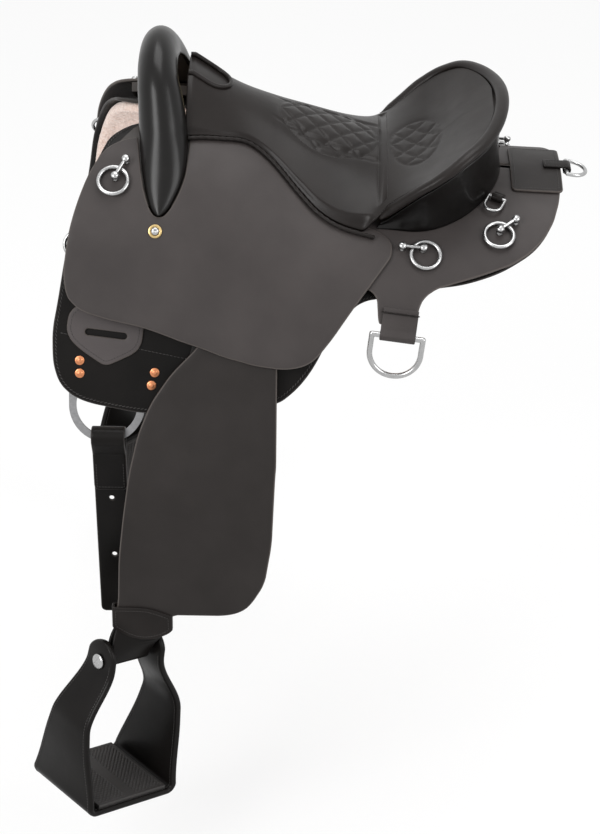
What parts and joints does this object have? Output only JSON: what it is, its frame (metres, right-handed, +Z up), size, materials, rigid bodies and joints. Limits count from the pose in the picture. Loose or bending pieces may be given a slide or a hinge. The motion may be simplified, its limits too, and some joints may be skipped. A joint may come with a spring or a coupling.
{
  "type": "endurance saddle",
  "caption": "Leather endurance saddle on a wooden tree with padded seat, flaps, fleece-lined skirts, swinging fenders, turned stirrups, rigging dees and rings",
  "frame": {"origin": "on the midline inside the space for the horse's back, below the front of the seat", "axes": "+X runs from the pommel to the tail, +Y to the off (right) side, +Z up"},
  "size_m": [0.7048, 0.9332, 0.9079],
  "materials": {
    "wood": "wooden tree",
    "foam": "seat foam",
    "board": "stiff hide",
    "seat": "soft dark seat leather",
    "flap": "smooth matt dark leather",
    "skirt": "dark leather, stitched edge",
    "gloss": "glossy black leather",
    "fleece": "cream fleece",
    "steel": "polished stainless",
    "plate": "brushed steel plate",
    "copper": "copper",
    "brass": "brass",
    "tread": "dark grip rubber"
  },
  "bodies": {
    "saddle": {"tree_fork": "wood", "tree_bars": "wood", "tree_cantle": "wood", "ground_seat": "board", "seat_foam": "foam", "seat_cover": "seat", "hold_roll": "seat", "cantle_roll": "seat", "cantle_back": "gloss", "pommel_cover": "gloss", "seat_welt": "skirt", "near_flap": "flap", "off_flap": "flap", "near_skirt": "skirt", "off_skirt": "skirt", "near_jockey": "skirt", "off_jockey": "skirt", "near_fleece": "fleece", "off_fleece": "fleece", "crupper_gusset": "skirt", "crupper_loop": "skirt", "keepers": "flap", "near_rigging_dee": "plate", "off_rigging_dee": "plate", "copper_rivets": "copper", "fork_screws": "steel", "fork_washers": "brass", "ring_staples": "steel", "cinch_loops": "skirt", "cantle_tabs": "skirt", "breast_tabs": "skirt", "stirrup_hangers": "plate"},
    "near_fender_swing": {"near_fender": "flap", "near_leather": "skirt", "near_hobble": "skirt"},
    "off_fender_swing": {"off_fender": "flap", "off_leather": "skirt", "off_hobble": "skirt"},
    "near_stirrup_swing": {"near_stirrup": "gloss", "near_tread": "tread", "near_bolt": "steel"},
    "off_stirrup_swing": {"off_stirrup": "gloss", "off_tread": "tread", "off_bolt": "steel"},
    "near_latigo_swing": {"near_latigo": "skirt"},
    "off_latigo_swing": {"off_latigo": "skirt"},
    "near_cinch_dee": {"near_cinch_dee": "steel"},
    "off_cinch_dee": {"off_cinch_dee": "steel"},
    "near_cantle_dee": {"near_cantle_dee": "steel"},
    "off_cantle_dee": {"off_cantle_dee": "steel"},
    "near_breast_dee": {"near_breast_dee": "steel"},
    "off_breast_dee": {"off_breast_dee": "steel"},
    "near_front_ring": {"near_front_ring": "steel"},
    "off_front_ring": {"off_front_ring": "steel"},
    "near_mid_ring": {"near_mid_ring": "steel"},
    "off_mid_ring": {"off_mid_ring": "steel"},
    "near_rear_ring": {"near_rear_ring": "steel"},
    "off_rear_ring": {"off_rear_ring": "steel"},
    "crupper_dee": {"crupper_dee": "steel"}
  },
  "joints": [
    {"name": "near_fender_swing_turn", "type": "hinge", "parent": "saddle", "child": "near_fender_swing", "pos_m": [-0.088, -0.1883, 0.026], "axis": [0, -0.9135, 0.4067], "range_deg": [-10, 20]},
    {"name": "off_fender_swing_turn", "type": "hinge", "parent": "saddle", "child": "off_fender_swing", "pos_m": [-0.088, 0.1883, 0.026], "axis": [0, -0.9135, -0.4067], "range_deg": [-10, 20]},
    {"name": "near_stirrup_swing_turn", "type": "hinge", "parent": "near_fender_swing", "child": "near_stirrup_swing", "pos_m": [-0.214, -0.34388, -0.4512], "axis": [0.7096, 0.6617, -0.2419], "range_deg": [-45, 45]},
    {"name": "off_stirrup_swing_turn", "type": "hinge", "parent": "off_fender_swing", "child": "off_stirrup_swing", "pos_m": [-0.214, 0.34388, -0.4512], "axis": [-0.7096, 0.6617, 0.2419], "range_deg": [-45, 45]},
    {"name": "near_latigo_swing_turn", "type": "hinge", "parent": "saddle", "child": "near_latigo_swing", "pos_m": [-0.233, -0.25845, -0.17702], "axis": [1, 0, 0], "range_deg": [-8, 45]},
    {"name": "off_latigo_swing_turn", "type": "hinge", "parent": "saddle", "child": "off_latigo_swing", "pos_m": [-0.233, 0.25845, -0.17702], "axis": [-1, 0, 0], "range_deg": [-8, 45]},
    {"name": "near_cinch_dee_turn", "type": "hinge", "parent": "saddle", "child": "near_cinch_dee", "pos_m": [0.124, -0.22647, -0.04676], "axis": [0.9924, -0.0436, -0.1148], "range_deg": [-35, 60]},
    {"name": "off_cinch_dee_turn", "type": "hinge", "parent": "saddle", "child": "off_cinch_dee", "pos_m": [0.124, 0.22647, -0.04676], "axis": [-0.9924, -0.0436, 0.1148], "range_deg": [-35, 60]},
    {"name": "near_cantle_dee_turn", "type": "hinge", "parent": "saddle", "child": "near_cantle_dee", "pos_m": [0.247, -0.08101, 0.07181], "axis": [-0.9211, 0.3427, 0.185], "range_deg": [0, 110]},
    {"name": "off_cantle_dee_turn", "type": "hinge", "parent": "saddle", "child": "off_cantle_dee", "pos_m": [0.247, 0.08101, 0.07181], "axis": [0.9211, 0.3427, -0.185], "range_deg": [0, 110]},
    {"name": "near_breast_dee_turn", "type": "hinge", "parent": "saddle", "child": "near_breast_dee", "pos_m": [-0.264, -0.17202, 0.04659], "axis": [-0.0201, 0.4426, 0.8965], "range_deg": [0, 30]},
    {"name": "off_breast_dee_turn", "type": "hinge", "parent": "saddle", "child": "off_breast_dee", "pos_m": [-0.264, 0.17202, 0.04659], "axis": [0.0201, 0.4426, -0.8965], "range_deg": [0, 30]},
    {"name": "near_front_ring_turn", "type": "hinge", "parent": "saddle", "child": "near_front_ring", "pos_m": [-0.21702, -0.13193, 0.1307], "axis": [-0.8812, 0.3754, 0.2873], "range_deg": [0, 110]},
    {"name": "off_front_ring_turn", "type": "hinge", "parent": "saddle", "child": "off_front_ring", "pos_m": [-0.21702, 0.13193, 0.1307], "axis": [0.8812, 0.3754, -0.2873], "range_deg": [0, 110]},
    {"name": "near_mid_ring_turn", "type": "hinge", "parent": "saddle", "child": "near_mid_ring", "pos_m": [0.14129, -0.15894, 0.04028], "axis": [-0.4475, -0.7357, -0.5085], "range_deg": [0, 110]},
    {"name": "off_mid_ring_turn", "type": "hinge", "parent": "saddle", "child": "off_mid_ring", "pos_m": [0.14129, 0.15894, 0.04028], "axis": [0.4475, -0.7357, 0.5085], "range_deg": [0, 110]},
    {"name": "near_rear_ring_turn", "type": "hinge", "parent": "saddle", "child": "near_rear_ring", "pos_m": [0.25921, -0.12104, 0.05262], "axis": [-0.7852, 0.5281, 0.3235], "range_deg": [0, 110]},
    {"name": "off_rear_ring_turn", "type": "hinge", "parent": "saddle", "child": "off_rear_ring", "pos_m": [0.25921, 0.12104, 0.05262], "axis": [0.7852, 0.5281, -0.3235], "range_deg": [0, 110]},
    {"name": "crupper_dee_turn", "type": "hinge", "parent": "saddle", "child": "crupper_dee", "pos_m": [0.3385, 0, 0.07569], "axis": [0, -1, 0], "range_deg": [0, 75]}
  ]
}
